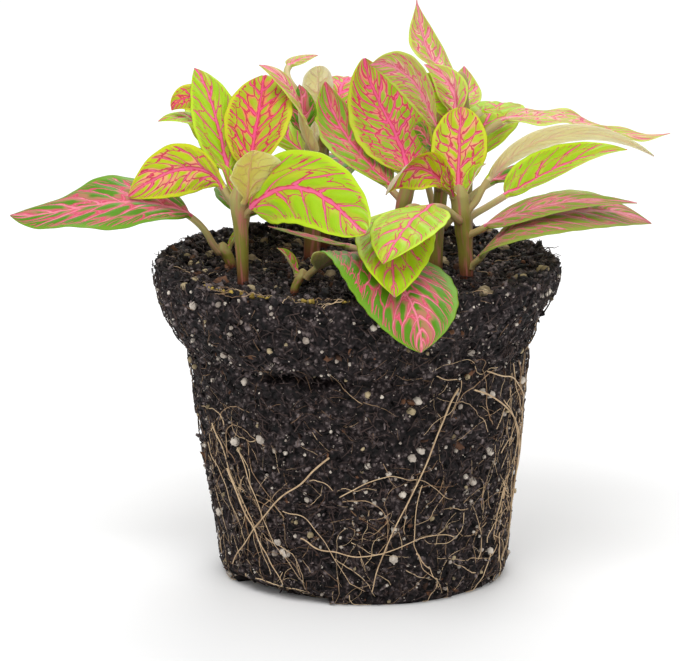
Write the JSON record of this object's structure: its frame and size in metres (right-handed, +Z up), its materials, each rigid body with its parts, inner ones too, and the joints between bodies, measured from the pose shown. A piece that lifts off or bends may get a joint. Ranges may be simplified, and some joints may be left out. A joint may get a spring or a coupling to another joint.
{
  "type": "potted nerve plant without its pot",
  "caption": "Bushy nerve plant with lime, green and pink-veined leaves on short stems, standing on the bare, pot-shaped root ball it grew in.",
  "frame": {"origin": "middle of the flat base of the root ball, on the surface it stands on", "axes": "+Z up along the root ball; -Y towards the side the picture shows; +X to that side's right"},
  "size_m": [0.1656, 0.1381, 0.1373],
  "materials": {
    "leaf_lime": "satin",
    "leaf_green": "satin",
    "leaf_rose": "satin",
    "leaf_cream": "satin",
    "stem": "satin",
    "root": "matte",
    "peat": "matte"
  },
  "bodies": {
    "root": {"leaf_back_green": "leaf_green", "leaf_back_tan": "leaf_cream", "leaf_back_thin": "leaf_rose", "leaf_behind_dark": "leaf_green", "leaf_brown_back": "leaf_cream", "leaf_central_big": "leaf_rose", "leaf_edge_on": "leaf_green", "leaf_far_left_low": "leaf_green", "leaf_far_right_wavy": "leaf_rose", "leaf_front_dark": "leaf_green", "leaf_front_lime": "leaf_lime", "leaf_front_mid": "leaf_lime", "leaf_front_small": "leaf_lime", "leaf_left_back_dark": "leaf_green", "leaf_left_far_pale": "leaf_cream", "leaf_left_far_red": "leaf_rose", "leaf_left_lime": "leaf_lime", "leaf_left_round": "leaf_rose", "leaf_left_tall": "leaf_lime", "leaf_mid_lime": "leaf_green", "leaf_pink_folded": "leaf_rose", "leaf_rear_crown_left": "leaf_lime", "leaf_rear_crown_right": "leaf_rose", "leaf_rear_left": "leaf_lime", "leaf_rear_low_left": "leaf_green", "leaf_rear_low_middle": "leaf_green", "leaf_rear_low_right": "leaf_green", "leaf_rear_middle": "leaf_rose", "leaf_rear_right": "leaf_green", "leaf_rear_top_right": "leaf_lime", "leaf_right_cream": "leaf_cream", "leaf_right_dark": "leaf_green", "leaf_right_lime": "leaf_lime", "leaf_right_pink": "leaf_rose", "leaf_right_round": "leaf_lime", "leaf_right_under": "leaf_lime", "leaf_small_dark": "leaf_green", "leaf_top_back": "leaf_rose", "leaf_top_back_green": "leaf_lime", "leaf_top_back_pink": "leaf_rose", "leaf_top_light": "leaf_rose", "leaf_top_right_light": "leaf_rose", "leaf_young_bud": "leaf_lime", "root_ball": "peat", "root_left_down": "root", "root_left_long": "root", "root_low_cross": "root", "root_middle": "root", "root_right": "root", "stem_back": "stem", "stem_centre": "stem", "stem_centre_back": "stem", "stem_far_left": "stem", "stem_front": "stem", "stem_left_back": "stem", "stem_left_front": "stem", "stem_mid_right": "stem", "stem_right_back": "stem", "stem_right_front": "stem", "stem_tall_back": "stem"}
  },
  "joints": []
}
